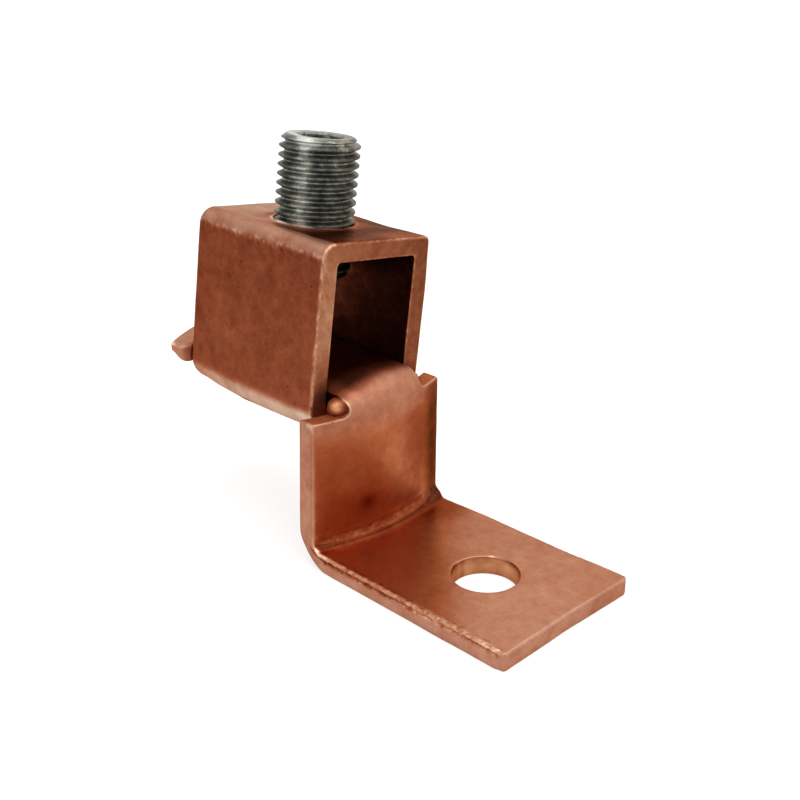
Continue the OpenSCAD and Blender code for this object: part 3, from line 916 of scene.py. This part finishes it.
def round_screw(*lobes):
    """Sum of lobes round the screw: (height, middle, width)."""
    return sum(height * lobe(SCREW_TURN, middle, width) for height, middle, width in lobes)


# The plate has a warmer tint on one side, and a painted highlight runs mostly along one line, between bands
# of painted shade
WARM_SIDE = round_screw((1.0, 32, 34))
SCREW_LIGHT_BANDS = round_screw((0.37, -65, 13), (-0.10, -36, 11), (-0.10, -98, 12), (0.02, -8, 14), (-0.12, 24, 12))


def screw_loop(shell, r, z, tone):
    """A loop round the screw; the radius is one value, or one for each angle."""
    x, y = SCREW_X + r * np.cos(SCREW_TURN), r * np.sin(SCREW_TURN)
    return shell.add(in_collar(np.c_[x, y, np.full(len(y), SCREW_BASE + z)]), tone, WARM_SIDE)


def on_axis(shell, z, tone):
    """Index of one point on the screw's axis."""
    return shell.add(in_collar([(SCREW_X, 0, SCREW_BASE + z)]), tone)[0]


def thread(z):
    """Radius round the screw at a height, with how near it is to a crest."""
    phase = np.abs((z / PITCH - SCREW_TURN / (2 * math.pi)) % 1.0 - 0.5) * 2
    height = np.clip((phase - FLANK_FOOT) / (FLANK_TOP - FLANK_FOOT), 0, 1)
    height = 0.6 * height + 0.4 * smooth(height)
    cone = min(z, SCREW_LEN - z) * CHAMFER_SLOPE + END_R
    return np.minimum(CREST_R - THREAD_DEPTH * (1 - height), cone), height


def screw_thread(shell):
    """Rows of the right-hand thread with chamfered ends, painted dark below the collar's roof as shade and
    with painted highlights above it.
    """
    rows = []
    end_highlight = 0.16 + round_screw((0.34, -70, 12))
    around = CREST_R * np.c_[np.cos(SCREW_TURN), np.sin(SCREW_TURN)]
    for z in np.linspace(0, SCREW_LEN, 330):
        r, near = thread(z)
        # Below the roof's top the thread is painted dark, as shade in the collar
        out = smooth((z - SCREW_LEN + SCREW_OUT + 0.3) / 0.7)
        # A painted highlight round the top end, strongest on one side
        end = end_highlight * smooth((z - SCREW_LEN + 1.3) / 0.5)
        at = np.c_[around, np.full(len(around), 1.6 * z)]
        worn = 0.22 * rough(at, 1.5, 61) + 0.12 * rough(at, 0.6, 63)
        # Crests are painted a little darker, to take down their highlights
        crest = 0.11 * near + 0.06 * smooth((near - 0.85) / 0.15)
        rows.append(screw_loop(shell, r, z, 0.30 + out * (0.30 + SCREW_LIGHT_BANDS + worn - crest + end)))
    shell.stack(rows)
    return rows


def screw_socket(shell, last):
    """Flat top, painted lighter on one side and darker on the other, and hexagon socket, whose far wall has
    one painted glint between flats in painted shade.
    """
    hexagon = SOCKET_AF / 2 / np.cos(np.mod(SCREW_TURN, math.pi / 3) - math.pi / 6)
    face = 0.80 + round_screw((0.16, -115, 45), (-0.14, 60, 45))
    wall = 0.58 + round_screw((0.42, 117, 8), (-0.34, 150, 14), (-0.24, 88, 12))
    top = [last]
    for r, z in ((END_R - 0.1, 0.0), (END_R - 0.22, 0.0), (END_R - 0.7, -0.03), (3.9, -0.03), (3.55, -0.03)):
        top.append(screw_loop(shell, r, SCREW_LEN + z, face))
    top.append(screw_loop(shell, np.maximum(hexagon + 0.05, SOCKET_RIM_R - 0.05), SCREW_LEN - 0.05, 0.75))
    top.append(screw_loop(shell, np.minimum(hexagon, SOCKET_RIM_R), SCREW_LEN - 0.3, 0.6))
    for depth in (0.8, 2.5, SOCKET_DEPTH - 0.25):
        top.append(screw_loop(shell, hexagon, SCREW_LEN - depth, wall))
    top.append(screw_loop(shell, hexagon * 0.93, SCREW_LEN - SOCKET_DEPTH, 0.3))
    shell.stack(top)
    shell.fan(top[-1], on_axis(shell, SCREW_LEN - SOCKET_DEPTH - 0.7, 0.2))


def screw_point(shell, first):
    """Flat end with a cup."""
    foot = [first]
    for r, z in ((4.2, 0.0), (CUP_D / 2 + 0.15, 0.0), (CUP_D / 2, 0.06), (CUP_D / 4, 0.7)):
        foot.append(screw_loop(shell, r, z, 0.4))
    shell.stack(foot)
    shell.fan(foot[-1], on_axis(shell, CUP_D / 4, 0.3))


def make_screw():
    """The set screw: thread, socket and point."""
    shell = Shell()
    rows = screw_thread(shell)
    screw_socket(shell, rows[-1])
    screw_point(shell, rows[0])
    return shell.object("set_screw_threaded", "screw", "set_screw", 42)


class Nodes:
    """Short way to put a node material together."""

    def __init__(self, name):
        self.material = bpy.data.materials.new(name)
        self.material.use_nodes = True
        self.tree = self.material.node_tree
        self.shader = self.tree.nodes["Principled BSDF"]
        self.place = self.add("ShaderNodeTexCoord").outputs["Object"]

    def add(self, kind, inputs=None, **values):
        node = self.tree.nodes.new(kind)
        for key, value in values.items():
            setattr(node, key, value)
        for key, value in (inputs or {}).items():
            if isinstance(value, bpy.types.NodeSocket):
                self.tree.links.new(value, node.inputs[key])
            else:
                node.inputs[key].default_value = value
        return node

    def noise(self, size, detail=4.0, rough=0.6, stretch=(1, 1, 1), warp=0.0, place=None):
        """Noise with features of about the given size in mm, drawn out along an axis."""
        scale = [1 / s for s in stretch]
        at = self.add("ShaderNodeMapping", {"Vector": place or self.place, "Scale": scale}).outputs[0]
        inputs = {"Vector": at, "Scale": 1 / (size * MM), "Detail": detail, "Roughness": rough,
                  "Distortion": warp}
        return self.add("ShaderNodeTexNoise", inputs).outputs["Fac"]

    def value(self, name, kind="Fac"):
        """One of the mesh's own surface values."""
        return self.add("ShaderNodeAttribute", attribute_name=name).outputs[kind]

    def ramp(self, value, *stops):
        """Value to colour or grey through stops of (place, colour)."""
        node = self.add("ShaderNodeValToRGB", {"Fac": value})
        points = node.color_ramp.elements
        while len(points) < len(stops):
            points.new(0.5)
        for point, (at, colour) in zip(points, stops):
            point.position = at
            point.color = (colour,) * 3 + (1,) if isinstance(colour, (int, float)) else tuple(colour) + (1,)
        return node.outputs["Color"]

    def mix(self, share, a, b, blend="MIX"):
        """Two colours mixed, or blended in another way."""
        inputs = {0: share, 6: a, 7: b}
        return self.add("ShaderNodeMix", inputs, data_type="RGBA", blend_type=blend).outputs[2]

    def maths(self, kind, a, b=0.0):
        """One step of arithmetic."""
        return self.add("ShaderNodeMath", {0: a, 1: b}, operation=kind).outputs[0]

    def bump(self, height, strength, distance, under=None):
        """Normals for a height over a distance in mm, on top of other normals."""
        inputs = {"Height": height, "Strength": strength, "Distance": distance * MM}
        if under is not None:
            inputs["Normal"] = under
        return self.add("ShaderNodeBump", inputs).outputs["Normal"]

    def finish(self, colour, rough, normal):
        """The bare metal with this colour, roughness and relief."""
        for key, value in (("Base Color", colour), ("Roughness", rough), ("Normal", normal)):
            self.tree.links.new(value, self.shader.inputs[key])
        self.shader.inputs["Metallic"].default_value = 1.0
        return self.material


COPPER_TONES = [(0.0, (0.010, 0.003, 0.0025)), (0.15, (0.06, 0.015, 0.009)), (0.33, (0.20, 0.047, 0.021)),
                (0.50, (0.32, 0.092, 0.044)), (0.68, (0.49, 0.212, 0.125)), (0.85, (0.66, 0.36, 0.23)),
                (1.0, (0.90, 0.63, 0.47))]
# Tints by which a colour is multiplied
FLUSH, PALE, GILT = (0.80, 0.50, 0.30, 1), (0.99, 1.36, 1.66, 1), (1.02, 1.10, 0.62, 1)
COPPER_SHEEN = (0.78, 0.54, 0.45, 1)
ZINC_TONES = [(0.0, (0.012, 0.013, 0.011)), (0.25, (0.045, 0.048, 0.040)), (0.5, (0.118, 0.124, 0.105)),
              (0.75, (0.285, 0.29, 0.25)), (1.0, (0.62, 0.61, 0.57))]
WARM = (0.98, 0.82, 0.72, 1)


def toned(n, parts):
    """The mesh's tone with layers of noise on it: (noise, share)."""
    tone = n.value("tone")
    for layer, share in parts:
        tone = n.maths("ADD", tone, n.maths("MULTIPLY", n.maths("SUBTRACT", layer, 0.5), share))
    return tone


def copper(name, mottle, roughness, pits, grain):
    """Tumbled bare copper: mottled tarnish, fine scratches and small dark pits."""
    n = Nodes(name)
    tarnish = n.noise(4.5, 5, 0.62, warp=0.5)
    blotch = n.noise(1.3, 4, 0.6)
    fine = n.noise(0.35, 4, 0.7)
    along = n.noise(0.16, 3, 0.7, stretch=(9, 1, 1), place=n.value("flat", "Vector"))
    cells = n.add("ShaderNodeTexVoronoi", {"Vector": n.place, "Scale": 1 / (1.5 * MM), "Randomness": 1.0})
    spots = n.ramp(cells.outputs["Distance"], (0.05, 1.0), (0.16, 0.0))
    spots = n.maths("MULTIPLY", spots, n.ramp(n.noise(2.6, 3, 0.6), (0.50, 0.0), (0.62, pits)))
    tone = toned(n, [(tarnish, 0.30 * mottle), (blotch, 0.22 * mottle), (fine, 0.14 * mottle)])
    tone = n.maths("SUBTRACT", tone, n.maths("MULTIPLY", spots, 0.22))
    worn = n.mix(0.5, n.ramp(tarnish, (0.3, 1.0), (0.7, 0.0)), n.ramp(along, (0.3, 0.0), (0.7, 1.0)))
    rough = n.ramp(worn, (0.0, roughness - 0.07), (1.0, roughness + 0.12))
    rough = n.maths("ADD", rough, n.maths("MULTIPLY", n.value("matte"), 0.24))
    flush = n.value("flush")
    normal = n.bump(along, 0.25, 0.012)
    normal = n.bump(fine, grain, 0.03, normal)
    normal = n.bump(n.maths("MULTIPLY", spots, -1.0), 0.5, 0.06, normal)
    n.shader.inputs["Specular Tint"].default_value = COPPER_SHEEN
    colour = n.mix(flush, n.ramp(tone, *COPPER_TONES), FLUSH, "MULTIPLY")
    colour = n.mix(n.maths("MULTIPLY", flush, -1.0), colour, PALE, "MULTIPLY")
    colour = n.mix(n.value("gilt"), colour, GILT, "MULTIPLY")
    return n.finish(colour, rough, normal)


def zinc(name):
    """Dull zinc plate with a slight green-grey tint, brighter where the mesh's tone carries painted
    highlights.
    """
    n = Nodes(name)
    cloud = n.noise(1.6, 4, 0.6)
    drawn = n.noise(0.35, 3, 0.7, stretch=(1, 1, 5))
    tone = toned(n, [(cloud, 0.45), (drawn, 0.65)])
    rough = n.ramp(n.mix(0.5, drawn, cloud), (0.3, 0.36), (0.7, 0.56))
    colour = n.mix(n.value("flush"), n.ramp(tone, *ZINC_TONES), WARM, "MULTIPLY")
    return n.finish(colour, rough, n.bump(drawn, 0.25, 0.02))


strap = make_strap()
collar = make_collar()
screw = make_screw()
strap.data.materials.append(copper("strap_copper_finish", 0.8, 0.34, 0.5, 0.22))
collar.data.materials.append(copper("collar_copper_finish", 1.0, 0.40, 0.9, 0.30))
screw.data.materials.append(zinc("screw_zinc_finish"))


# Floor and light, in metres and watts
FLOOR_SIDE, FLOOR_DROP, FLOOR_GLOW = 3.0, 0.00002, 0.66
WORLD_LIGHT, WORLD_SHOWN = 0.75, 1.0
KEY_AT, KEY_AIM, KEY_SIZE, KEY_WATTS = (0.15, 0.05, 0.6), (-0.02, 0, 0.02), 0.75, 2.4
# Camera that was fitted to the photograph, in metres, degrees and pixels
CAMERA_AT, CAMERA_YAW, CAMERA_PITCH = (0.09542, -0.11073, 0.09102), 45.1, 23.63
FOCAL_PX, PHOTO_PX, SENSOR_MM = 1301.18, 800, 36.0


def shown_rays(tree, hidden, shown):
    """A strength for rays that show the backdrop, to the eye or in the metal, and one for all others."""
    seen = tree.nodes.new("ShaderNodeLightPath")
    level = tree.nodes.new("ShaderNodeMapRange")
    share = seen.outputs["Is Camera Ray"]
    for kind in ("Is Glossy Ray", "Is Transmission Ray"):
        both = tree.nodes.new("ShaderNodeMath")
        both.operation = "MAXIMUM"
        tree.links.new(share, both.inputs[0])
        tree.links.new(seen.outputs[kind], both.inputs[1])
        share = both.outputs[0]
    tree.links.new(share, level.inputs["Value"])
    level.inputs["To Min"].default_value = hidden
    level.inputs["To Max"].default_value = shown
    return level.outputs[0]


def make_floor():
    """Pale flat floor, wide enough to fill the view, just under the part."""
    mesh = bpy.data.meshes.new("floor")
    side = FLOOR_SIDE
    mesh.from_pydata([(-side, -side, 0), (side, -side, 0), (side, side, 0), (-side, side, 0)], [], [range(4)])
    floor = bpy.data.objects.new("floor", mesh)
    floor.location.z = -FLOOR_DROP
    bpy.context.scene.collection.objects.link(floor)
    n = Nodes("floor_paper")
    tone = n.ramp(n.noise(60, 3, 0.5), (0.3, 0.49), (0.7, 0.51))
    n.tree.links.new(tone, n.shader.inputs["Base Color"])
    n.shader.inputs["Roughness"].default_value = 0.9
    n.shader.inputs["Specular IOR Level"].default_value = 0.0
    # White where it is seen directly or mirrored in the metal; it still takes the part's shadow
    n.tree.links.new(shown_rays(n.tree, 0.0, FLOOR_GLOW), n.shader.inputs["Emission Strength"])
    n.shader.inputs["Emission Color"].default_value = (1, 1, 1, 1)
    mesh.materials.append(n.material)


def aimed(name, data, place, ahead):
    """A lamp or a camera at a place, looking ahead."""
    piece = bpy.data.objects.new(name, data)
    piece.location = place
    piece.rotation_mode = "QUATERNION"
    piece.rotation_quaternion = ahead.to_track_quat("-Z", "Y")
    bpy.context.scene.collection.objects.link(piece)
    return piece


def make_light():
    """White surroundings, and one broad lamp overhead."""
    world = bpy.data.worlds.new("studio")
    bpy.context.scene.world = world
    world.use_nodes = True
    back = world.node_tree.nodes["Background"]
    world.node_tree.links.new(shown_rays(world.node_tree, WORLD_LIGHT, WORLD_SHOWN), back.inputs["Strength"])
    back.inputs["Color"].default_value = (1, 1, 1, 1)
    data = bpy.data.lights.new("key", "AREA")
    data.shape = "RECTANGLE"
    data.size = data.size_y = KEY_SIZE
    data.energy = KEY_WATTS
    aimed("key", data, KEY_AT, Vector(KEY_AIM) - Vector(KEY_AT))


def make_camera():
    """The photograph's own view."""
    data = bpy.data.cameras.new("camera")
    data.sensor_width = SENSOR_MM
    data.lens = FOCAL_PX / PHOTO_PX * SENSOR_MM
    data.clip_start, data.clip_end = 0.01, 20.0
    yaw, pitch = math.radians(CAMERA_YAW), math.radians(CAMERA_PITCH)
    ahead = Vector((-math.sin(yaw) * math.cos(pitch), math.cos(yaw) * math.cos(pitch), -math.sin(pitch)))
    bpy.context.scene.camera = aimed("camera", data, CAMERA_AT, ahead)


make_floor()
make_light()
make_camera()
bpy.context.scene.view_settings.view_transform = "Standard"
